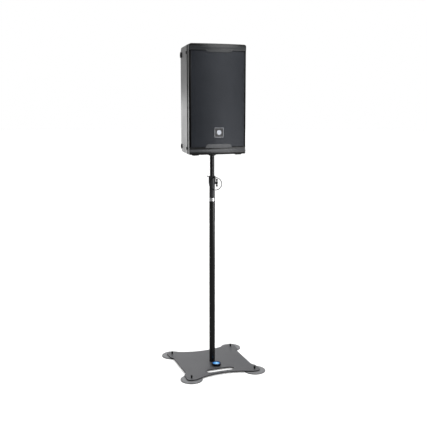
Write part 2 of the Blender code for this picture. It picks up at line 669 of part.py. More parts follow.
def build_front():
    grille = add_part("grille", sheet_mesh(front_curve(HALF_FRONT), BOTTOM_BAND_TOP + GAP,
                                           TOP_BAND_BOTTOM - GAP), "grille_steel")
    solidify(grille, 0.0012)
    foam = add_part("grille_foam", sheet_mesh(front_curve(0.155, 0.0016, 12), BOTTOM_BAND_TOP + 0.004,
                                              TOP_BAND_BOTTOM - 0.004), "foam")
    solidify(foam, 0.003)

    # Each band is a bar behind the bowed front line; its ledges stand proud of that line.
    bottom_ledges = [(BODY_BOTTOM + 0.0005, 0.0), (BODY_BOTTOM + 0.0090, 0.0030),
                     (BODY_BOTTOM + 0.0205, 0.0045), (BODY_BOTTOM + 0.0300, 0.0004),
                     (BODY_BOTTOM + 0.0350, 0.0004), (BOTTOM_BAND_TOP, 0.0020)]
    top_ledges = [(TOP_BAND_BOTTOM, 0.0012), (BODY_TOP - 0.0230, 0.0034),
                  (BODY_TOP - 0.0070, 0.0022), (BODY_TOP - 0.0005, 0.0)]
    bottom = add_part("bottom_bezel", band_mesh(bottom_ledges), "dark_trim")
    combine(bottom, add_cutter(plateau_mesh(BOTTOM_BAND_TOP - 0.0035, PLATEAU_TOP, PLATEAU_HALF_WIDE,
                                            PLATEAU_HALF, 0.0050, 0.0012)), "UNION")
    top = add_part("top_bezel", band_mesh(top_ledges), "dark_trim")
    combine(top, add_cutter(plateau_mesh(PLATEAU_BOTTOM_OF_TOP, TOP_BAND_BOTTOM + 0.0030, PLATEAU_HALF,
                                         PLATEAU_HALF_WIDE)), "UNION")
    for band in (bottom, top):
        middle = (BODY_BOTTOM + BODY_TOP) / 2
        combine(band, add_cutter(outline_mesh(front_outline(), 0.0, 0.2), facing_front(0, 0, middle)),
                "INTERSECT")

    crown = FRONT_RIM_Y - BOW_DEPTH
    badge_back = crown - GAP
    plate = add_part("badge_plate",
                     box_mesh((BADGE_SIZE, 0.0020, BADGE_SIZE), (0, badge_back - 0.0010, BADGE_Z),
                              0.0005, 1), "badge_black")
    inner = BADGE_SIZE / 2 - 0.0040
    combine(plate, add_cutter(span_mesh((-inner, badge_back - 0.0030, BADGE_Z - inner),
                                        (inner, badge_back - 0.0012, BADGE_Z + inner))))
    turned("badge_emblem",
           [(0.0, 0.0016), (0.0050, 0.0016), (0.0060, 0.0010), (0.0085, 0.0010), (0.0095, 0.0016),
            (0.0145, 0.0016), (0.0150, 0.0010), (0.0150, 0.0), (0.0, 0.0)],
           "satin_silver", facing_front(0, badge_back - 0.0012 - GAP, BADGE_Z), 24, closed=False)


def band_mesh(ledges):
    """A bar across the front: the plan outline is cut at each ledge's height and pulled proud there."""
    back = FRONT_RIM_Y - GAP
    line = front_curve(HALF_FRONT)[1:-1]
    plan = line + [(-HALF_FRONT, back), (HALF_FRONT, back)]
    bm = bmesh.new()
    bm.from_mesh(outline_mesh(plan, ledges[0][0], ledges[-1][0]))
    for height, _ in ledges[1:-1]:
        bmesh.ops.bisect_plane(bm, geom=bm.verts[:] + bm.edges[:] + bm.faces[:], dist=MERGE,
                               plane_co=(0, 0, height), plane_no=(0, 0, 1))
    for vert in bm.verts:
        if vert.co.y < back - MERGE:
            nearest = min(ledges, key=lambda ledge: abs(ledge[0] - vert.co.z))
            vert.co.y -= nearest[1]
    return finish_mesh(bm, "band")


def plateau_mesh(low, high, half_low, half_high, proud_low=0.0022, proud_high=0.0022):
    """A raised trapezoid that lies on the grille, bent to the bow; its face may lean."""
    outline = [(-half_low, low), (half_low, low), (half_high, high), (-half_high, high)]
    steps = 10
    bm = bmesh.new()
    bmesh.ops.create_grid(bm, x_segments=steps, y_segments=1, size=0.5)
    for vert in bm.verts:
        share = vert.co.y + 0.5
        half = half_low + (half_high - half_low) * share
        x = 2 * half * vert.co.x
        vert.co = (x, FRONT_RIM_Y - BOW_DEPTH + x * x / (2 * BOW_RADIUS) - GAP,
                   outline[0][1] + (high - low) * share)
    bmesh.ops.recalc_face_normals(bm, faces=bm.faces)
    raised = bmesh.ops.extrude_face_region(bm, geom=bm.faces[:])["geom"]
    moved = [v for v in raised if isinstance(v, bmesh.types.BMVert)]
    for vert in moved:
        vert.co.y -= proud_high if abs(vert.co.z - high) < MERGE else proud_low
    bmesh.ops.recalc_face_normals(bm, faces=bm.faces)
    return finish_mesh(bm, "plateau")


# ---------------------------------------------------------------- drivers

def superellipse(half_x, half_y, power, share):
    angle = 2 * math.pi * share
    cosine, sine = math.cos(angle), math.sin(angle)
    radius = (abs(cosine / half_x) ** power + abs(sine / half_y) ** power) ** (-1 / power)
    return radius * cosine, radius * sine


def build_woofer():
    """Heights in these profiles are distances forward of the pole's axis."""
    seat = -BAFFLE_FACE_Y + GAP
    place = facing_front(0, 0, WOOFER_Z)
    basket = turned("woofer_basket",
                    [(0.1395, seat + 0.004), (WOOFER_FLANGE_RADIUS, seat + 0.004),
                     (WOOFER_FLANGE_RADIUS, seat), (0.1425, seat), (0.1410, 0.0720),
                     (0.0820, 0.0300), (0.0800, -0.0120), (0.0260, -0.0120), (0.0260, -0.0085),
                     (0.0765, -0.0085), (0.0785, 0.0325), (0.1370, 0.0745), (0.1385, 0.0860),
                     (0.1395, 0.0870)], "cast_frame", place, 32)
    for i in range(6):
        window = box_mesh((0.070, 0.052, 0.046), (0.115, 0, 0.044))
        combine(basket, add_cutter(window, place @ Matrix.Rotation(i * math.pi / 3, 4, "Z")))

    turned("woofer_cone",
           [(0.1155, 0.0857), (0.0565, 0.0422), (0.0380, 0.0312), (0.0262, 0.0285),
            (0.0262, 0.0300), (0.0375, 0.0330), (0.0560, 0.0440), (0.1150, 0.0872)],
           "paper_cone", place, 28)

    def dome(radius, height):
        return [(radius * math.sin(math.radians(a)), 0.0335 + height * math.cos(math.radians(a)))
                for a in (0, 30, 60, 90)]

    skin = dome(0.0358, 0.0138)
    turned("dust_cap", dome(0.0370, 0.0150) + skin[::-1], "paper_cone", place, 24, closed=False)

    def roll(radius, height):
        return [(0.1280 + radius * math.cos(math.radians(a)), height + radius * math.sin(math.radians(a)))
                for a in (180, 135, 90, 45, 0)]

    turned("woofer_surround",
           [(0.1140, 0.0885)] + roll(0.0075, 0.0885) + [(0.1383, 0.0885), (0.1383, 0.0876)]
           + roll(0.0064, 0.0876)[::-1] + [(0.1140, 0.0876)], "rubber", place, 28)
    crests = 5
    pitch = (0.0770 - 0.0262) / crests
    folds = [(0.0262 + pitch * i, 0.0195 + (0.0020 if i % 2 else -0.0020)) for i in range(crests + 1)]
    turned("woofer_spider",
           [(r, h + 0.0006) for r, h in folds] + [(r, h - 0.0006) for r, h in reversed(folds)],
           "spider_cloth", place, 20)
    turned("voice_coil",
           [(0.0246, 0.0300), (0.0256, 0.0300), (0.0256, -0.0250), (0.0246, -0.0250)],
           "copper", place)
    turned("woofer_magnet",
           [(0.0300, -0.0123), (0.0750, -0.0123), (0.0750, -0.0323), (0.0300, -0.0323)],
           "ferrite", place, 28)
    turned("woofer_yoke",
           [(0.0, 0.0020), (0.0225, 0.0020), (0.0240, 0.0), (0.0240, -0.0326), (0.0720, -0.0326),
            (0.0720, -0.0406), (0.0, -0.0406)], "zinc", place, 28, closed=False)


def build_horn():
    """A flared waveguide: superellipse sections from a wide mouth to a round throat."""
    seat = BAFFLE_FACE_Y - GAP - 0.0030
    points = 28
    rings = 6
    bm = bmesh.new()
    sections = [[(x, seat, z) for x, z in (superellipse(*HORN_FLANGE, 9.0, i / points)
                                           for i in range(points))]]
    for ring in range(rings):
        share = ring / (rings - 1)
        flare = (1 - share) ** 1.5
        half_x = HORN_THROAT_RADIUS + (HORN_HALF_WIDTH - HORN_THROAT_RADIUS) * flare
        half_z = HORN_THROAT_RADIUS + (HORN_HALF_HEIGHT - HORN_THROAT_RADIUS) * flare
        power = 2.0 + 5.0 * (1 - share) ** 2
        y = seat + (HORN_THROAT_Y - seat) * share
        sections.append([(x, y, z) for x, z in (superellipse(half_x, half_z, power, i / points)
                                                for i in range(points))])
    loops = [[bm.verts.new((x, y, HORN_Z + z)) for x, y, z in section] for section in sections]
    for outer, inner in zip(loops, loops[1:]):
        for i in range(points):
            j = (i + 1) % points
            bm.faces.new((outer[i], outer[j], inner[j], inner[i]))
    bmesh.ops.recalc_face_normals(bm, faces=bm.faces)
    flange_faces = [f for f in bm.faces if all(abs(v.co.y - seat) < MERGE for v in f.verts)]
    if flange_faces[0].normal.y > 0:
        bmesh.ops.reverse_faces(bm, faces=bm.faces)
    horn = add_part("horn_waveguide", finish_mesh(bm, "horn_waveguide"), "black_plastic")
    solidify(horn, 0.0030)
    turned("compression_driver",
           [(0.0, -HORN_THROAT_Y - 0.0035), (0.0200, -HORN_THROAT_Y - 0.0035),
            (0.0220, -HORN_THROAT_Y - 0.0120), (0.0440, -HORN_THROAT_Y - 0.0140),
            (0.0450, -HORN_THROAT_Y - 0.0160), (0.0450, -HORN_THROAT_Y - 0.0500),
            (0.0400, -HORN_THROAT_Y - 0.0550), (0.0, -HORN_THROAT_Y - 0.0550)],
           "ferrite", facing_front(0, 0, HORN_Z), closed=False)


def build_ports():
    seat = -BAFFLE_FACE_Y + GAP
    tube_wall = 0.0025
    for side, word in ((-1, "left"), (1, "right")):
        turned(f"port_tube_{word}",
               [(PORT_RADIUS - tube_wall + 0.003, seat + 0.0025), (PORT_RADIUS + 0.0050, seat + 0.0025),
                (PORT_RADIUS + 0.0055, seat), (PORT_RADIUS, seat), (PORT_RADIUS, -0.0400),
                (PORT_RADIUS - tube_wall, -0.0400), (PORT_RADIUS - tube_wall, seat - 0.006)],
               "black_plastic", facing_front(side * PORT_X, 0, PORT_Z))


# ---------------------------------------------------------------- sockets, feet and handle

def build_pole_socket():
    flange_bottom = BODY_BOTTOM - SOCKET_FLANGE
    turned("pole_socket",
           [(0.0, SOCKET_TOP), (SOCKET_RADIUS, SOCKET_TOP), (SOCKET_RADIUS, BODY_BOTTOM - GAP),
            (SOCKET_FLANGE_RADIUS, BODY_BOTTOM - GAP), (SOCKET_FLANGE_RADIUS - 0.0015, flange_bottom),
            (SOCKET_BORE, flange_bottom), (SOCKET_BORE, SOCKET_TOP - 0.0040),
            (0.0, SOCKET_TOP - 0.0040)], "black_plastic", closed=False)


def build_feet():
    places = [(-0.136, -0.070), (0.150, -0.070), (0.105, 0.165), (-0.105, 0.165)]
    for index, (x, y) in enumerate(places, start=1):
        pad = box_mesh((0.040, 0.024, FOOT_HEIGHT), (x, y, BODY_BOTTOM - GAP - FOOT_HEIGHT / 2),
                       0.0018, 1)
        add_part(f"rubber_foot_{index}", pad, "rubber")
    lean = math.atan2(HALF_FRONT + SIDE_STEP - HALF_BACK, BODY_BACK_Y - FRONT_RIM_Y)
    low, high = BODY_BOTTOM + 0.037, BODY_TOP - 0.051
    places = [(-0.030, low, 0.0105, 0.0030), (0.188, low, 0.0160, 0.0055),
              (0.188, high, 0.0190, 0.0065), (-0.030, high, 0.0105, 0.0030)]
    for index, (y, z, radius, height) in enumerate(places, start=1):
        out = Matrix.Rotation(-lean, 4, "Z") @ Matrix.Rotation(math.radians(-90), 4, "Y")
        place = Matrix.Translation((-half_width(y) - GAP, y, z)) @ out
        turned(f"monitor_foot_{index}",
               [(0.0, height), (radius - 0.0035, height), (radius - 0.0010, height - 0.0012),
                (radius, 0.0), (0.0, 0.0)], "rubber", place, 18, closed=False)


def build_handle():
    rim = 0.008
    rim_height = 0.0018
    rim_low = BODY_TOP + GAP
    handle = add_part("top_handle",
                      span_mesh((-HANDLE_HALF_LENGTH - rim, HANDLE_Y - HANDLE_HALF_WIDTH - rim, rim_low),
                                (HANDLE_HALF_LENGTH + rim, HANDLE_Y + HANDLE_HALF_WIDTH + rim,
                                 rim_low + rim_height)), "black_plastic")
    cup = span_mesh((-HANDLE_HALF_LENGTH, HANDLE_Y - HANDLE_HALF_WIDTH, BODY_TOP - HANDLE_DEPTH),
                    (HANDLE_HALF_LENGTH, HANDLE_Y + HANDLE_HALF_WIDTH, rim_low + rim_height / 2))
    combine(handle, add_cutter(cup), "UNION")
    skin = 0.0035
    hollow = span_mesh((-HANDLE_HALF_LENGTH + skin, HANDLE_Y - HANDLE_HALF_WIDTH + skin,
                        BODY_TOP - HANDLE_DEPTH + skin),
                       (HANDLE_HALF_LENGTH - skin, HANDLE_Y + HANDLE_HALF_WIDTH - skin,
                        BODY_TOP + 0.01))
    combine(handle, add_cutter(hollow))
    bar = box_mesh((2 * HANDLE_HALF_LENGTH - skin, 0.026, 0.020),
                   (0, HANDLE_Y, rim_low + rim_height - 0.0105), 0.005, 2)
    combine(handle, add_cutter(bar), "UNION")


# ---------------------------------------------------------------- amplifier

def panel_hole(panel, radius, x, z, segments=20):
    combine(panel, add_cutter(cylinder_mesh(radius, -0.02, 0.02, segments),
                              facing_back(x, PANEL_OUTER_Y, z)))


def build_amplifier():
    panel = add_part("amp_panel",
                     span_mesh((-PANEL_HALF_WIDTH, PANEL_OUTER_Y - PANEL_THICKNESS,
                                PANEL_Z - PANEL_HALF_HEIGHT),
                               (PANEL_HALF_WIDTH, PANEL_OUTER_Y, PANEL_Z + PANEL_HALF_HEIGHT)),
                     "dark_trim")
    behind = PANEL_OUTER_Y - PANEL_THICKNESS

    jack_z = PANEL_Z + 0.040
    jacks = (("combo_input_1", -0.050, 0.0092), ("combo_input_2", 0.0, 0.0092),
             ("line_output", 0.050, 0.0088))
    for name, x, bore in jacks:
        panel_hole(panel, 0.0121, x, jack_z)
        jack = add_part(name, cylinder_mesh(0.0117, -0.022, 0.0010, 20), "black_plastic",
                        facing_back(x, PANEL_OUTER_Y, jack_z))
        plate = box_mesh((0.026, 0.031, 0.0022), (0, 0, GAP + 0.0011), 0.0009, 1)
        combine(jack, add_cutter(plate, jack.matrix_world), "UNION")
        combine(jack, add_cutter(cylinder_mesh(bore, -0.018, 0.01, 16), jack.matrix_world))

    knob_x, knob_z = 0.050, PANEL_Z + 0.125
    panel_hole(panel, 0.0036, knob_x, knob_z, 16)
    knob = turned("encoder_knob",
                  [(0.0, 0.0150), (0.0088, 0.0150), (0.0100, 0.0138), (0.0112, 0.0010),
                   (0.0030, 0.0010), (0.0030, -0.0120), (0.0, -0.0120)],
                  "rubber", facing_back(knob_x, PANEL_OUTER_Y, knob_z), closed=False)
    pointer = span_mesh((-0.0006, 0.0040, 0.0143), (0.0006, 0.0120, 0.0160))
    combine(knob, add_cutter(pointer, knob.matrix_world))

    window = (0.058, 0.040)
    window_x = -0.035
    combine(panel, add_cutter(box_mesh((window[0] + 2 * GAP, 0.0020, window[1] + 2 * GAP),
                                       (window_x, PANEL_OUTER_Y, knob_z))))
    add_part("display_window",
             span_mesh((window_x - window[0] / 2, PANEL_OUTER_Y - 0.0010 + GAP, knob_z - window[1] / 2),
                       (window_x + window[0] / 2, PANEL_OUTER_Y + 0.0006, knob_z + window[1] / 2)),
             "glass_black")

    inlet_x, supply_z = -0.045, PANEL_Z - 0.150
    combine(panel, add_cutter(box_mesh((0.0284, 0.02, 0.0204), (inlet_x, PANEL_OUTER_Y, supply_z))))
    inlet = add_part("mains_inlet",
                     span_mesh((inlet_x - 0.0138, behind - 0.020, supply_z - 0.0098),
                               (inlet_x + 0.0138, PANEL_OUTER_Y + 0.0008, supply_z + 0.0098)),
                     "black_plastic")
    rim = span_mesh((inlet_x - 0.0170, PANEL_OUTER_Y + GAP, supply_z - 0.0130),
                    (inlet_x + 0.0170, PANEL_OUTER_Y + 0.0025, supply_z + 0.0130), 0.0008, 1)
    combine(inlet, add_cutter(rim), "UNION")
    combine(inlet, add_cutter(span_mesh((inlet_x - 0.0118, behind - 0.015, supply_z - 0.0078),
                                        (inlet_x + 0.0118, PANEL_OUTER_Y + 0.01, supply_z + 0.0078))))

    rocker_x = 0.040
    combine(panel, add_cutter(box_mesh((0.0140, 0.02, 0.0240), (rocker_x, PANEL_OUTER_Y, supply_z))))
    rocker = add_part("power_rocker", box_mesh((0.0128, 0.0090, 0.0220), bevel=0.0012, segments=1),
                      "rubber", Matrix.Translation((rocker_x, PANEL_OUTER_Y - 0.0012, supply_z))
                      @ Matrix.Rotation(ROCKER_TILT, 4, "X"))
    dish = cylinder_mesh(0.0240, -0.01, 0.01, 32)
    dish_place = rocker.matrix_world @ Matrix.Translation((0, 0.0274, 0)) @ Matrix.Rotation(
        math.radians(90), 4, "Y")
    combine(rocker, add_cutter(dish, dish_place))

    build_heat_sink()
    board = add_part("amp_board",
                     span_mesh((-0.070, behind - 0.0360, PANEL_Z - 0.165),
                               (0.070, behind - 0.0344, PANEL_Z + 0.165)), "board")
    for x in (-0.062, 0.062):
        for z in (PANEL_Z - 0.155, PANEL_Z + 0.155):
            post = cylinder_mesh(0.0030, -0.0350, -GAP, 8)
            combine(board, add_cutter(post, facing_back(x, behind, z)), "UNION")


def build_heat_sink():
    """A finned block on the outside of the panel, the fins upright."""
    low, high = PANEL_Z - 0.110, PANEL_Z - 0.010
    seat = PANEL_OUTER_Y + GAP
    sink = add_part("heat_sink", span_mesh((-0.072, seat, low), (0.072, seat + 0.0120, high)),
                    "aluminium")
    fins = 13
    pitch = 0.144 / fins
    for i in range(fins - 1):
        x = -0.072 + pitch * (i + 1)
        gap = span_mesh((x - 0.0034, seat + 0.0030, low - 0.01), (x + 0.0034, seat + 0.02, high + 0.01))
        combine(sink, add_cutter(gap))


def main():
    global PARTS, CUTTERS
    clear_scene()
    PARTS = make_collection("pa_speaker_on_stand")
    CUTTERS = make_collection("cutters")
    build_base()
    build_pole()
    build_cabinet()
    build_baffle()
    build_front()
    build_woofer()
    build_horn()
    build_ports()
    build_pole_socket()
    build_feet()
    build_handle()
    build_amplifier()


main()
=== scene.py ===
"""Looks of the powered loudspeaker on its pole and steel base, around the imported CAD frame."""

import json
import math

import bmesh
import bpy
from mathutils import Matrix, Vector


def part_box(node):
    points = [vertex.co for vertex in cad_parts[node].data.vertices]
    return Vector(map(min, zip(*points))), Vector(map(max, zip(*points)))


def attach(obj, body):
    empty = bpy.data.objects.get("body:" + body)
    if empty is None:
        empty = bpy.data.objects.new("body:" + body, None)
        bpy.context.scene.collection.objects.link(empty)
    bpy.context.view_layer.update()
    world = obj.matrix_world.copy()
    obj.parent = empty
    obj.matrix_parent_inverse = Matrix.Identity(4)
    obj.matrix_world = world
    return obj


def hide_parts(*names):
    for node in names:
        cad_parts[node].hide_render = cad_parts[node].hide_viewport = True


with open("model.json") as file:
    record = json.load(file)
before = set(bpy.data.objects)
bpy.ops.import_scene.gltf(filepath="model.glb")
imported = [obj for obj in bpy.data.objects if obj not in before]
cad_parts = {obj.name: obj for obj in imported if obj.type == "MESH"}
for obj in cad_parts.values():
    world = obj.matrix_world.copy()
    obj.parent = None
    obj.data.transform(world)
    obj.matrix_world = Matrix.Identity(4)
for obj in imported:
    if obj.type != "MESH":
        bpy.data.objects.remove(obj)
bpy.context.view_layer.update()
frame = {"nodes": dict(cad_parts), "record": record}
scene = bpy.context.scene

# ---------------------------------------------------------------- camera

CAMERA_AZIMUTH = math.radians(19.91)
CAMERA_DISTANCE = 4.246
CAMERA_HEIGHT = 1.730
CAMERA_PITCH = math.radians(9.46)
CAMERA_AIM = math.radians(0.121)        # a small turn off the object's axis
CAMERA_LENS = 55.78                     # millimetres, on a sensor 36 mm wide


def make_camera():
    data = bpy.data.cameras.new("camera")
    data.sensor_width = 36.0
    data.lens = CAMERA_LENS
    data.clip_end = 200.0
    camera = bpy.data.objects.new("camera", data)
    scene.collection.objects.link(camera)
    camera.location = (-CAMERA_DISTANCE * math.sin(CAMERA_AZIMUTH),
                       -CAMERA_DISTANCE * math.cos(CAMERA_AZIMUTH), CAMERA_HEIGHT)
    camera.rotation_euler = (math.pi / 2 - CAMERA_PITCH, 0.0, -(CAMERA_AZIMUTH + CAMERA_AIM))
    scene.camera = camera


# ---------------------------------------------------------------- node helpers

class Nodes:
    """Adds nodes to one material's tree and links them in one line each."""

    def __init__(self, tree):
        self.tree = tree

    def add(self, kind, inputs=None, **settings):
        node = self.tree.nodes.new(kind)
        for name, value in settings.items():
            setattr(node, name, value)
        for name, value in (inputs or {}).items():
            socket = node.inputs[name]
            if isinstance(value, bpy.types.NodeSocket):
                self.tree.links.new(value, socket)
            else:
                socket.default_value = value
        return node

    def noise(self, vector, scale, detail=3.0, roughness=0.5):
        return self.add("ShaderNodeTexNoise", {"Vector": vector, "Scale": scale, "Detail": detail,
                                               "Roughness": roughness}).outputs["Fac"]

    def math(self, operation, a, b=0.0, c=0.0):
        return self.add("ShaderNodeMath", {0: a, 1: b, 2: c}, operation=operation).outputs[0]

    def span(self, value, from_low, from_high, low, high):
        limits = {"Value": value, "From Min": from_low, "From Max": from_high,
                  "To Min": low, "To Max": high}
        return self.add("ShaderNodeMapRange", limits).outputs["Result"]

    def mix(self, factor, a, b):
        node = self.add("ShaderNodeMix", data_type="RGBA")
        for index, value in ((0, factor), (6, a), (7, b)):
            socket = node.inputs[index]
            if isinstance(value, bpy.types.NodeSocket):
                self.tree.links.new(value, socket)
            else:
                socket.default_value = value
        return node.outputs[2]


# SHADE: the colour that painted shade darkens faces towards.
SHADE = (0.0015, 0.0015, 0.0015, 1.0)


def rgba(colour, scale=1.0):
    return tuple(min(1.0, c * scale) for c in colour) + (1.0,)


def make_material(name, colour, roughness, metallic=0.0, grain=600.0, bump=0.1, depth=0.0004,
                  mottle=0.12, mottle_scale=9.0, rough_spread=0.06, facing=None, **sockets):
    """A moulded, coated or cast surface: fine grain in the bump, slow mottling in colour and gloss.

    painted shade = (axis, start, full, share): darkens faces by their normal along that axis, as
    painted shade: not at all at start, and by share from full on.
    """
    material = bpy.data.materials.new(name)
    material.use_nodes = True
    material.diffuse_color = rgba(colour)
    tree = material.node_tree
    shader = tree.nodes["Principled BSDF"]
    build = Nodes(tree)
    place = build.add("ShaderNodeTexCoord").outputs["Object"]
    slow = build.noise(place, mottle_scale, 4.0)
    fine = build.noise(place, grain, 2.0, 0.6)
    tone = build.mix(slow, rgba(colour, 1.0 - mottle), rgba(colour, 1.0 + mottle))
    # painted shade: faces turned along the axis are darkened towards SHADE.
    if facing:
        axis, start, full, share = facing
        normal = build.add("ShaderNodeTexCoord").outputs["Normal"]
        turned = build.add("ShaderNodeSeparateXYZ", {"Vector": normal}).outputs[axis]
        tone = build.mix(build.span(turned, start, full, 0.0, share), tone, SHADE)
    tree.links.new(tone, shader.inputs["Base Color"])
    gloss = build.span(build.math("ADD", slow, build.math("MULTIPLY", fine, 0.6)), 0.4, 1.2,
                       roughness - rough_spread, roughness + rough_spread)
    tree.links.new(gloss, shader.inputs["Roughness"])
    shader.inputs["Metallic"].default_value = metallic
    if bump:
        relief = build.add("ShaderNodeBump", {"Height": fine, "Strength": bump, "Distance": depth})
        tree.links.new(relief.outputs["Normal"], shader.inputs["Normal"])
    for key, value in sockets.items():
        shader.inputs[key.replace("_", " ")].default_value = value
    return material


LOOKS = {
    # cabinet_plastic: painted shade on the faces that point forward.
    "cabinet_plastic": dict(colour=(0.022, 0.0225, 0.024), roughness=0.33, bump=0.25, grain=900.0,
                            facing=("Y", -0.80, -0.95, 1.0)),
    "bezel_plastic": dict(colour=(0.030, 0.032, 0.035), roughness=0.30, bump=0.08),
    "grille_steel": dict(colour=(0.041, 0.047, 0.060), roughness=0.38, metallic=0.2, bump=0.05),
    "acoustic_foam": dict(colour=(0.006, 0.006, 0.007), roughness=0.95, grain=700.0, bump=0.6,
                          depth=0.001),
    "badge_black": dict(colour=(0.016, 0.016, 0.018), roughness=0.28, bump=0.02),
    "badge_silver": dict(colour=(0.42, 0.44, 0.48), roughness=0.30, metallic=0.6, bump=0.03),
    "cast_frame": dict(colour=(0.05, 0.05, 0.052), roughness=0.50, metallic=0.5),
    "cone_paper": dict(colour=(0.024, 0.024, 0.025), roughness=0.85, grain=250.0, bump=0.4),
    "rubber_black": dict(colour=(0.016, 0.016, 0.016), roughness=0.70, bump=0.15),
    "spider_cloth": dict(colour=(0.42, 0.33, 0.18), roughness=0.9, grain=900.0, bump=0.5),
    "coil_copper": dict(colour=(0.72, 0.39, 0.22), roughness=0.34, metallic=1.0),
    "ferrite": dict(colour=(0.045, 0.045, 0.048), roughness=0.6, metallic=0.1),
    "zinc_steel": dict(colour=(0.56, 0.56, 0.55), roughness=0.34, metallic=1.0, bump=0.05),
    "circuit_board": dict(colour=(0.03, 0.11, 0.06), roughness=0.42),
    "panel_metal": dict(colour=(0.058, 0.060, 0.065), roughness=0.42, metallic=0.1, bump=0.2),
    "heat_sink_aluminium": dict(colour=(0.09, 0.092, 0.095), roughness=0.40, metallic=0.6),
    "display_glass": dict(colour=(0.010, 0.012, 0.016), roughness=0.10, bump=0.0,
                          rough_spread=0.02),
    "socket_plastic": dict(colour=(0.020, 0.020, 0.022), roughness=0.40, bump=0.08),
    # base_coat: painted shade on the plate's side walls, the faces that turn away from straight up.
    "base_coat": dict(colour=(0.052, 0.053, 0.058), roughness=0.46, bump=0.40, depth=0.0006,
                      grain=750.0, facing=("Z", 0.75, 0.35, 1.0)),
    "knob_black": dict(colour=(0.004, 0.004, 0.004), roughness=0.50, bump=0.05,
                       Specular_IOR_Level=0.25),
    "tube_black": dict(colour=(0.005, 0.005, 0.0055), roughness=0.20, bump=0.02),
    "band_silver": dict(colour=(0.86, 0.86, 0.87), roughness=0.22, metallic=1.0, bump=0.02),
    "collar_cast": dict(colour=(0.050, 0.051, 0.054), roughness=0.36, metallic=0.1, bump=0.2),
    "level_blue": dict(colour=(0.02, 0.20, 0.72), roughness=0.10, bump=0.0, rough_spread=0.02),
}
# Nodes that look unlike the rest of their slot, some through painted light and painted shade.
VARIANTS = {
    # bottom_bezel: a lighter copy of the bezel plastic as painted light on its upward strips, with
    # painted shade on its downward faces.
    "bottom_bezel": dict(colour=(0.085, 0.088, 0.094), roughness=0.28, bump=0.08,
                         facing=("Z", 0.06, -0.04, 0.96)),
    # top_bezel: painted shade on its upward faces.
    "top_bezel": dict(colour=(0.034, 0.037, 0.040), roughness=0.28, bump=0.08,
                      facing=("Z", 0.03, 0.10, 0.9)),
    "clamp_knob": dict(colour=(0.003, 0.003, 0.003), roughness=0.45, bump=0.05,
                       Specular_IOR_Level=0.25),
    # foot_disc: painted shade on the discs' side walls.
    "foot_disc": dict(colour=(0.15, 0.152, 0.158), roughness=0.44, bump=0.40, depth=0.0006,
                      grain=750.0, facing=("Z", 0.75, 0.35, 1.0)),
}
MATERIALS = {slot: make_material(slot, **look) for slot, look in LOOKS.items()}
FINISHES = {name: make_material(name, **look) for name, look in VARIANTS.items()}


def make_level_material():
    """A bullseye level's blue dome with a painted highlight: pale blue in the middle, deep blue
    towards its rim.
    """
    material = make_material("level_painted_highlight", (0.02, 0.20, 0.72), 0.08, bump=0.0, rough_spread=0.02)
    low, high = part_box("bubble_level")
    tree = material.node_tree
    build = Nodes(tree)
    place = build.add("ShaderNodeTexCoord").outputs["Object"]
    flat = build.add("ShaderNodeVectorMath", {0: place, 1: (1, 1, 0)},
                     operation="MULTIPLY").outputs[0]
    centre = ((low[0] + high[0]) / 2, (low[1] + high[1]) / 2, 0.0)
    away = build.add("ShaderNodeVectorMath", {0: flat, 1: centre},
                     operation="DISTANCE").outputs["Value"]
    radius = (high[0] - low[0]) / 2
    share = build.span(away, radius * 0.25, radius * 0.92, 0.0, 1.0)
    # painted highlight: lighter towards the dome's middle, darker towards its rim.
    tone = build.mix(share, (0.16, 0.56, 0.95, 1), (0.006, 0.10, 0.50, 1))
    tree.links.new(tone, tree.nodes["Principled BSDF"].inputs["Base Color"])
    return material


FINISHES["bubble_level"] = make_level_material()


# ---------------------------------------------------------------- CAD nodes

WELD_DISTANCE = 0.00002
FLAT_ANGLE = math.radians(0.6)          # facets closer than this to one plane become one face
EDGE_ROUNDING = 0.0006
SHARP_ANGLE = math.radians(40)          # edges sharper than this are rounded


def finish_node(node):
    """Rounds a CAD node's edges and smooths its curves with modifiers; its own vertices stay."""
    mesh = node.data
    mesh.polygons.foreach_set("use_smooth", [True] * len(mesh.polygons))
    if mesh.has_custom_normals:
        with bpy.context.temp_override(object=node, active_object=node):
            bpy.ops.mesh.customdata_custom_splitnormals_clear()
    weld = node.modifiers.new("weld", "WELD")
    weld.merge_threshold = WELD_DISTANCE
    flat = node.modifiers.new("flat", "DECIMATE")
    flat.decimate_type = "DISSOLVE"
    flat.angle_limit = FLAT_ANGLE
    rounding = node.modifiers.new("round", "BEVEL")
    rounding.width = EDGE_ROUNDING
    rounding.segments = 2
    rounding.limit_method = "ANGLE"
    rounding.angle_limit = SHARP_ANGLE
    rounding.use_clamp_overlap = True
    smooth = node.modifiers.new("smooth", "WEIGHTED_NORMAL")
    smooth.keep_sharp = True
    smooth.weight = 60


def dress_nodes():
    slots = {entry["node"]: entry["material_slot"] for entry in frame["record"]["subparts"]}
    for name, node in frame["nodes"].items():
        node.data.materials.clear()
        variant = name.rstrip("_1234")
        node.data.materials.append(FINISHES.get(variant) or MATERIALS[slots[name]])
        finish_node(node)


# ---------------------------------------------------------------- new pieces

def add_piece(name, mesh, material, body, replaces=()):
    piece = bpy.data.objects.new(name, mesh)
    scene.collection.objects.link(piece)
    mesh.materials.append(material)
    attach(piece, body)
    if replaces:
        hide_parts(*replaces)
    return piece


def mesh_of(name, verts, faces, smooth=False):
    mesh = bpy.data.meshes.new(name)
    mesh.from_pydata(verts, [], faces)
    mesh.update()
    mesh.polygons.foreach_set("use_smooth", [smooth] * len(mesh.polygons))
    return mesh


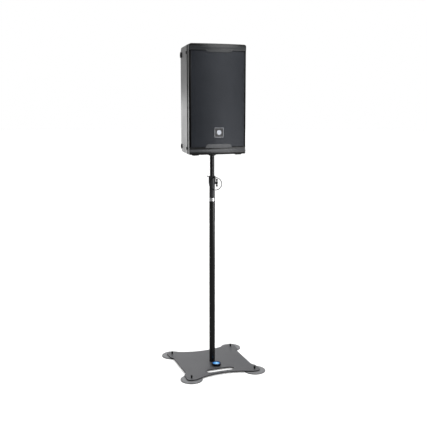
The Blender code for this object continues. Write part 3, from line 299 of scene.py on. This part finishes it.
GRILLE_PITCH = 0.0052           # between the centres of the grille's holes
GRILLE_OPEN = 0.64              # a hole's size against its cell
GRILLE_DEPTH = 0.0010
GRILLE_SET_BACK = 0.00025       # the perforated field behind the fold's face
GRILLE_END_MARGIN = 0.0012
GRILLE_SIDE_FOLD = 0.0120       # plain folded edges around the perforated field
GRILLE_END_FOLD = 0.0035
GRILLE_CORNER = 0.005
CORNER_STEPS = 7
FOLD_STEPS = 24
FOLD_THICKNESS = 0.0009
BOW_RADIUS = 0.909


def bow(crown, x):
    return crown + x * x / (2 * BOW_RADIUS)


def make_grille():
    """A bowed sheet with real hexagonal holes, and the plain fold that borders it, darkened as
    painted shade.
    """
    low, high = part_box("grille")
    crown, half = low[1], high[0]
    sheet_y = crown + GRILLE_SET_BACK
    pitch, row_step = GRILLE_PITCH, GRILLE_PITCH * math.sqrt(3) / 2
    field_x = half - GRILLE_SIDE_FOLD + pitch * 0.8
    field_low, field_high = low[2] + GRILLE_END_MARGIN, high[2] - GRILLE_END_MARGIN
    columns = int(2 * field_x / pitch)
    rows = int((field_high - field_low) / row_step)
    start_x = -(columns - 0.5) * pitch / 2
    start_z = (field_low + field_high - (rows - 1) * row_step) / 2
    reach = GRILLE_PITCH / math.sqrt(3) * GRILLE_OPEN
    corners = [(reach * math.cos(math.radians(30 + 60 * k)),
                reach * math.sin(math.radians(30 + 60 * k))) for k in range(6)]
    verts, faces, first = [], [], {}
    for row in range(rows):
        for column in range(columns):
            x = start_x + (column + 0.5 * (row % 2)) * pitch
            z = start_z + row * row_step
            first[column, row] = len(verts)
            for depth in (0.0, GRILLE_DEPTH):
                verts += [(x + dx, bow(sheet_y, x + dx) + depth, z + dz) for dx, dz in corners]
    for (column, row), at in first.items():
        for k in range(6):
            faces.append((at + k, at + (k + 1) % 6, at + 6 + (k + 1) % 6, at + 6 + k))
        odd = row % 2
        right = first.get((column + 1, row))
        above_right = first.get((column + odd, row + 1))
        above_left = first.get((column + odd - 1, row + 1))
        below_right = first.get((column + odd, row - 1))
        # hole corners 0..5 stand at 30, 90, 150, 210, 270 and 330 degrees
        if right is not None:
            faces.append((at + 5, right + 3, right + 2, at + 0))
        if above_right is not None:
            faces.append((at + 0, above_right + 4, above_right + 3, at + 1))
        if above_left is not None:
            faces.append((at + 1, above_left + 5, above_left + 4, at + 2))
        if right is not None and above_right is not None:
            faces.append((at + 0, right + 2, above_right + 4))
        if right is not None and below_right is not None:
            faces.append((at + 5, below_right + 1, right + 3))
    add_piece("grille_field", mesh_of("grille_field", verts, faces), MATERIALS["grille_steel"],
              "speaker", ("grille",))

    flat = half - GRILLE_CORNER
    inner = half - GRILLE_SIDE_FOLD
    plan = [(half, high[1])]
    for k in range(CORNER_STEPS):
        turn = math.radians(-90.0 * k / CORNER_STEPS)
        plan.append((flat + GRILLE_CORNER * math.cos(turn),
                     bow(crown, flat) + GRILLE_CORNER + GRILLE_CORNER * math.sin(turn)))
    strip = [flat - (flat - inner) * k / 2 for k in range(3)]
    plan += [(x, bow(crown, x)) for x in strip]
    verts, faces = [], []
    for side in (1, -1):
        start = len(verts)
        for x, y in plan:
            verts += [(side * x, y, low[2]), (side * x, y, high[2])]
        for k in range(len(plan) - 1):
            quad = (start + 2 * k, start + 2 * k + 2, start + 2 * k + 3, start + 2 * k + 1)
            faces.append(quad if side < 0 else quad[::-1])
    for bottom, top in ((low[2], low[2] + GRILLE_END_FOLD), (high[2] - GRILLE_END_FOLD, high[2])):
        start = len(verts)
        for k in range(FOLD_STEPS + 1):
            x = -inner + 2 * inner * k / FOLD_STEPS
            verts += [(x, bow(crown, x), bottom), (x, bow(crown, x), top)]
        for k in range(FOLD_STEPS):
            faces.append((start + 2 * k, start + 2 * k + 2, start + 2 * k + 3, start + 2 * k + 1))
    fold = add_piece("grille_fold", mesh_of("grille_fold", verts, faces, True), FOLD_SHADE_MATERIAL,
                     "speaker")
    thick = fold.modifiers.new("thick", "SOLIDIFY")
    thick.thickness = FOLD_THICKNESS
    thick.offset = -1.0


BADGE_MARGIN = 0.0006
BADGE_LINE = 0.0022


def make_badge():
    """The badge's bright outline, set into its plate."""
    low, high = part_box("badge_plate")
    centre_z = (low[2] + high[2]) / 2
    outer = (high[0] - low[0]) / 2 - BADGE_MARGIN
    inner = outer - BADGE_LINE
    front, back = low[1] - 0.00015, low[1] + 0.0003
    verts = []
    for y in (front, back):
        for half in (outer, inner):
            verts += [(half, y, centre_z + half), (-half, y, centre_z + half),
                      (-half, y, centre_z - half), (half, y, centre_z - half)]
    faces = []
    for k in range(4):
        n = (k + 1) % 4
        faces += [(k, n, n + 4, k + 4), (k + 8, k + 12, n + 12, n + 8), (k, k + 8, n + 8, n),
                  (k + 4, n + 4, n + 12, k + 12)]
    outline = add_piece("badge_outline", mesh_of("badge_outline", verts, faces), OUTLINE_MATERIAL,
                        "speaker")
    soft = outline.modifiers.new("soft", "BEVEL")
    soft.width = 0.00012
    soft.segments = 2


def make_level_rim():
    """The black ring that holds the level."""
    low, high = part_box("bubble_level")
    cx, cy = (low[0] + high[0]) / 2, (low[1] + high[1]) / 2
    outer, top = (high[0] - low[0]) / 2, high[2]
    profile = [(outer + 0.0016, low[2] + 0.0002), (outer + 0.0018, top - 0.0020),
               (outer + 0.0012, top - 0.0006), (outer - 0.0006, top + 0.0003),
               (outer - 0.0022, top + 0.0001), (outer - 0.0022, top - 0.0008)]
    steps = 64
    verts = [(cx + r * math.cos(2 * math.pi * k / steps),
              cy + r * math.sin(2 * math.pi * k / steps), z)
             for k in range(steps) for r, z in profile]
    size = len(profile)
    faces = [(k * size + j, (k + 1) % steps * size + j, (k + 1) % steps * size + (j + 1) % size,
              k * size + (j + 1) % size) for k in range(steps) for j in range(size)]
    add_piece("level_rim", mesh_of("level_rim", verts, faces, True), MATERIALS["knob_black"],
              "stand")


def joined(name, parts):
    """One mesh from several bmesh builders, each given as (builder, matrix)."""
    bm = bmesh.new()
    for build, matrix in parts:
        before = set(bm.verts)
        build(bm)
        bmesh.ops.transform(bm, matrix=matrix, verts=[v for v in bm.verts if v not in before])
    bmesh.ops.recalc_face_normals(bm, faces=bm.faces)
    mesh = bpy.data.meshes.new(name)
    bm.to_mesh(mesh)
    bm.free()
    mesh.polygons.foreach_set("use_smooth", [True] * len(mesh.polygons))
    return mesh


def lathe(profile, steps=32):
    """A builder that turns (radius, height) points about Z."""
    def build(bm):
        rings = []
        for radius, height in profile:
            if radius < 1e-6:
                rings.append([bm.verts.new((0, 0, height))])
            else:
                rings.append([bm.verts.new((radius * math.cos(2 * math.pi * k / steps),
                                            radius * math.sin(2 * math.pi * k / steps), height))
                              for k in range(steps)])
        for low, high in zip(rings, rings[1:]):
            for k in range(steps):
                n = (k + 1) % steps
                if len(low) == 1:
                    bm.faces.new((low[0], high[n], high[k]))
                elif len(high) == 1:
                    bm.faces.new((low[k], low[n], high[0]))
                else:
                    bm.faces.new((low[k], low[n], high[n], high[k]))
    return build


RING_WIRE = 0.0024                      # the wire's radius
RING_HEADING = math.radians(-19.6)
RING_STEPS, RING_SIDES = 96, 12


def make_pull_ring():
    """The safety pin's split ring, in round wire."""
    low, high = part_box("pin_ring")
    centre = (low + high) / 2
    radius = (high[2] - low[2]) / 2 - 0.0018
    along_ring = Vector((math.cos(RING_HEADING), math.sin(RING_HEADING), 0))
    across = Vector((-math.sin(RING_HEADING), math.cos(RING_HEADING), 0))
    steps, sides = RING_STEPS, RING_SIDES
    verts = []
    for k in range(steps):
        angle = 2 * math.pi * k / steps
        out = along_ring * math.sin(angle) + Vector((0, 0, math.cos(angle)))
        for j in range(sides):
            roll = 2 * math.pi * j / sides
            verts.append(centre + out * (radius + RING_WIRE * math.cos(roll))
                         + across * (RING_WIRE * math.sin(roll)))
    faces = [(k * sides + j, k * sides + (j + 1) % sides,
              (k + 1) % steps * sides + (j + 1) % sides,
              (k + 1) % steps * sides + j) for k in range(steps) for j in range(sides)]
    add_piece("pull_ring", mesh_of("pull_ring", verts, faces, True), FINISHES["clamp_knob"],
              "pin", ("pin_ring",))


def box_builder(size):
    return lambda bm: bmesh.ops.create_cube(bm, size=1.0, matrix=Matrix.Diagonal((*size, 1.0)))


def on_back(x, z, out=0.0):
    """A frame on the amplifier panel, its Z pointing straight out of the back."""
    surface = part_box("amp_panel")[1][1]
    return Matrix.Translation((x, surface + out, z)) @ Matrix.Rotation(math.radians(-90), 4, "X")


def frame_line(width, height, line=0.0007, depth=0.00016):
    """A thin printed rectangle, as four flat bars."""
    def build(bm):
        for dx, dy, sx, sy in ((0, height / 2, width, line), (0, -height / 2, width, line),
                               (width / 2, 0, line, height), (-width / 2, 0, line, height)):
            bmesh.ops.create_cube(bm, size=1.0, matrix=Matrix.Translation((dx, dy, depth / 2))
                                  @ Matrix.Diagonal((sx, sy, depth, 1.0)))
    return build


SCREW_HEAD = [(0.0, 0.0006), (0.0009, 0.0006), (0.0011, 0.0015), (0.0023, 0.0013), (0.0031, 0.0006),
              (0.0032, 0.0), (0.0, 0.0)]
LED_DOME = [(0.0, 0.0013), (0.0008, 0.0012), (0.0014, 0.0008), (0.0016, 0.0), (0.0, 0.0)]
CONTACT = [(0.0, 0.0), (0.0007, -0.0002), (0.0011, -0.0008), (0.0011, -0.0130), (0.0, -0.0130)]
FRONT_LAMP = [(0.0, 0.0022), (0.0016, 0.0020), (0.0026, 0.0012), (0.0029, -0.0020), (0.0, -0.0020)]
SCREW_INSET = 0.0045                    # panel screws from the panel's edge
JACK_SCREW = (0.0108, 0.0132)           # from a socket's centre
CONTACT_CIRCLE = 0.0052                 # a signal socket's three contacts stand on this radius
TICK_RADIUS, TICK_STEP, TICKS = 0.0150, 27, 11
METER_BARS = ((-0.016, 7), (-0.008, 5), (0.008, 6), (0.016, 4))     # offset, segments lit
METER_STEP = 0.0036


def make_panel_details():
    """Screws, contacts, lamps and plain printed outlines on the amplifier panel."""
    low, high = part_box("amp_panel")
    middle = (low[2] + high[2]) / 2
    edge_x, edge_z = high[0] - SCREW_INSET, (high[2] - low[2]) / 2 - SCREW_INSET
    heads = [(sx * edge_x, middle + sz * edge_z) for sx in (-1, 1) for sz in (-1, -0.34, 0.34, 1)]
    heads += [(0.0, middle + sz * edge_z) for sz in (-1, 1)]
    jacks = {name: (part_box(name)[0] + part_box(name)[1]) / 2
             for name in ("combo_input_1", "combo_input_2", "line_output")}
    screws = [(lathe(SCREW_HEAD, 20), on_back(x, z)) for x, z in heads]
    pins = []
    lamps = []
    print_lines = []
    for place in jacks.values():
        for sx in (-1, 1):
            screws.append((lathe([(r * 0.5, h * 0.6) for r, h in SCREW_HEAD], 14),
                           on_back(place.x + sx * JACK_SCREW[0], place.z + sx * JACK_SCREW[1],
                                   0.0024)))
        for k in range(3):
            angle = math.radians(90 + 120 * k)
            pins.append((lathe(CONTACT, 12),
                         on_back(place.x + CONTACT_CIRCLE * math.cos(angle),
                                 place.z + CONTACT_CIRCLE * math.sin(angle), -0.0030)))
        lamps.append((lathe(LED_DOME, 16), on_back(place.x, place.z + 0.0215)))
        print_lines.append((frame_line(0.040, 0.056), on_back(place.x, place.z + 0.0040)))
    inlet = (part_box("mains_inlet")[0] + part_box("mains_inlet")[1]) / 2
    rocker = (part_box("power_rocker")[0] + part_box("power_rocker")[1]) / 2
    for dx, dz in ((-0.0070, -0.0018), (0.0, 0.0020), (0.0070, -0.0018)):
        pins.append((box_builder((0.0020, 0.0040, 0.0110)),
                     on_back(inlet.x + dx, inlet.z + dz, -0.0095)))
    print_lines.append((frame_line(0.050, 0.036), on_back(inlet.x, inlet.z)))
    print_lines.append((frame_line(0.030, 0.036), on_back(rocker.x, rocker.z)))
    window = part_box("display_window")
    glass = (window[0] + window[1]) / 2
    print_lines.append((frame_line(window[1][0] - window[0][0] + 0.008,
                                   window[1][2] - window[0][2] + 0.008),
                        on_back(glass.x, glass.z)))
    knob = (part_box("encoder_knob")[0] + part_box("encoder_knob")[1]) / 2
    for k in range(TICKS):
        angle = math.radians(-225 + TICK_STEP * k)
        tick = (on_back(knob.x, knob.z) @ Matrix.Rotation(angle, 4, "Z")
                @ Matrix.Translation((TICK_RADIUS, 0, 0.0001)))
        print_lines.append((box_builder((0.0022, 0.0006, 0.00016)), tick))
    bars = []
    for column, lit in METER_BARS:
        for k in range(lit):
            bars.append((box_builder((0.0050, 0.0022, 0.0002)),
                         on_back(glass.x + column, glass.z - 0.0125 + METER_STEP * k, 0.0007)))

    def finish(name, parts, material, flat=False):
        mesh = joined(name, parts)
        if flat:
            mesh.polygons.foreach_set("use_smooth", [False] * len(mesh.polygons))
        add_piece(name, mesh, material, "speaker")

    finish("panel_screws", screws, MATERIALS["zinc_steel"])
    finish("socket_contacts", pins, MATERIALS["zinc_steel"])
    finish("panel_outlines", print_lines, PRINT_MATERIAL, True)
    finish("panel_lamps", lamps, LAMP_MATERIAL)
    finish("display_meter", bars, METER_MATERIAL, True)


def make_front_lamp():
    """The small lamp in the middle of the lower band."""
    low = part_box("bottom_bezel")[0]
    centre = (Matrix.Translation((0.004, low[1] + 0.0036, low[2] + 0.0395))
              @ Matrix.Rotation(math.radians(90), 4, "X"))
    mesh = joined("front_lamp", [(lathe(FRONT_LAMP, 24), centre)])
    add_piece("front_lamp", mesh, MATERIALS["display_glass"], "speaker")


PRINT_MATERIAL = make_material("panel_print", (0.42, 0.43, 0.44), 0.6, bump=0.0)
LAMP_MATERIAL = make_material("lamp_green", (0.03, 0.30, 0.06), 0.15, bump=0.0, rough_spread=0.02,
                              Emission_Color=(0.10, 0.9, 0.2, 1.0), Emission_Strength=0.4)
METER_MATERIAL = make_material("meter_blue", (0.15, 0.45, 0.8), 0.3, bump=0.0, rough_spread=0.02,
                               Emission_Color=(0.25, 0.65, 1.0, 1.0), Emission_Strength=0.5)
# The grille's plain fold, near black with weak gloss: painted shade along the grille's edges.
FOLD_SHADE_MATERIAL = make_material("grille_fold_painted_shade", (0.0035, 0.0035, 0.004), 0.42, bump=0.08,
                              Specular_IOR_Level=0.12)
OUTLINE_MATERIAL = make_material("badge_outline_coat", (0.42, 0.43, 0.46), 0.35, metallic=0.3,
                                 bump=0.02)


# ---------------------------------------------------------------- studio

FLOOR_RADIUS = 40.0
# name, heading, distance, height, aim height, (width, height), radiance
CARDS = (
    ("back_card", 180, 5.0, 0.75, 0.75, (4.2, 2.1), 1.25),
    ("front_box", 24, 4.0, 3.5, 1.5, (2.2, 2.6), 3.4),
    ("low_card", 24, 6.0, 0.66, 1.0, (1.7, 0.60), 9.0),
    ("right_card", 38, 4.5, 0.75, 1.4, (2.8, 1.5), 2.6),
)


def area_light(name, heading, distance, height, aim_height, size, radiance):
    """A soft box facing the object; heading in degrees from -Y towards +X."""
    turn = math.radians(heading)
    data = bpy.data.lights.new(name, "AREA")
    data.shape = "RECTANGLE"
    data.size, data.size_y = size
    data.energy = radiance * math.pi * size[0] * size[1]
    light = bpy.data.objects.new(name, data)
    scene.collection.objects.link(light)
    light.location = (distance * math.sin(turn), -distance * math.cos(turn), height)
    aim = Vector((0, 0, aim_height)) - light.location
    light.rotation_euler = aim.to_track_quat("-Z", "Y").to_euler()
    light.visible_camera = False


def make_studio():
    world = bpy.data.worlds.new("studio")
    scene.world = world
    world.use_nodes = True
    tree = world.node_tree
    tree.nodes.clear()
    build = Nodes(tree)
    direction = build.add("ShaderNodeTexCoord").outputs["Generated"]
    axes = build.add("ShaderNodeSeparateXYZ", {"Vector": direction}).outputs
    behind = build.span(axes["Y"], 0.60, 0.95, 0.05, 1.0)
    height = build.span(axes["Z"], 0.0, 0.35, 0.75, 0.30)
    above = build.span(axes["Z"], 0.35, 1.0, 0.0, 0.35)
    level = build.math("ADD", build.math("MULTIPLY", behind, height), above)
    soft = build.add("ShaderNodeBackground", {"Color": (1, 1, 1, 1), "Strength": level}).outputs[0]
    white = build.add("ShaderNodeBackground",
                      {"Color": (1, 1, 1, 1), "Strength": 1.0}).outputs[0]
    seen = build.add("ShaderNodeLightPath").outputs["Is Camera Ray"]
    mixed = build.add("ShaderNodeMixShader", {0: seen, 1: soft, 2: white}).outputs[0]
    build.add("ShaderNodeOutputWorld", {"Surface": mixed})

    bpy.ops.mesh.primitive_circle_add(vertices=96, radius=FLOOR_RADIUS, fill_type="NGON",
                                      location=(0, 0, 0))
    floor = bpy.context.object
    floor.name = "floor"
    paper = make_material("floor_paper", (0.92, 0.92, 0.92), 0.75, grain=40.0, bump=0.0,
                          mottle=0.004, mottle_scale=0.4)
    tree = paper.node_tree
    build = Nodes(tree)
    shader = tree.nodes["Principled BSDF"]
    shader.inputs["Specular IOR Level"].default_value = 0.1
    shader.inputs["Emission Color"].default_value = (1, 1, 1, 1)
    shader.inputs["Emission Strength"].default_value = 0.13
    dim = build.add("ShaderNodeBsdfDiffuse", {"Color": (0.22, 0.22, 0.22, 1)}).outputs[0]
    seen = build.add("ShaderNodeLightPath").outputs["Is Camera Ray"]
    mixed = build.add("ShaderNodeMixShader", {0: seen, 1: dim, 2: shader.outputs[0]}).outputs[0]
    tree.links.new(mixed, tree.nodes["Material Output"].inputs["Surface"])
    floor.data.materials.append(paper)

    data = bpy.data.lights.new("overhead", "SUN")
    data.energy = 3.0
    data.angle = math.radians(100)
    sun = bpy.data.objects.new("overhead", data)
    scene.collection.objects.link(sun)
    sun.rotation_euler = (math.radians(-8), math.radians(10), 0)
    for card in CARDS:
        area_light(*card)
    scene.view_settings.view_transform = "Standard"
    scene.view_settings.look = "None"


make_camera()
dress_nodes()
make_grille()
make_badge()
make_level_rim()
make_pull_ring()
make_panel_details()
make_front_lamp()
make_studio()
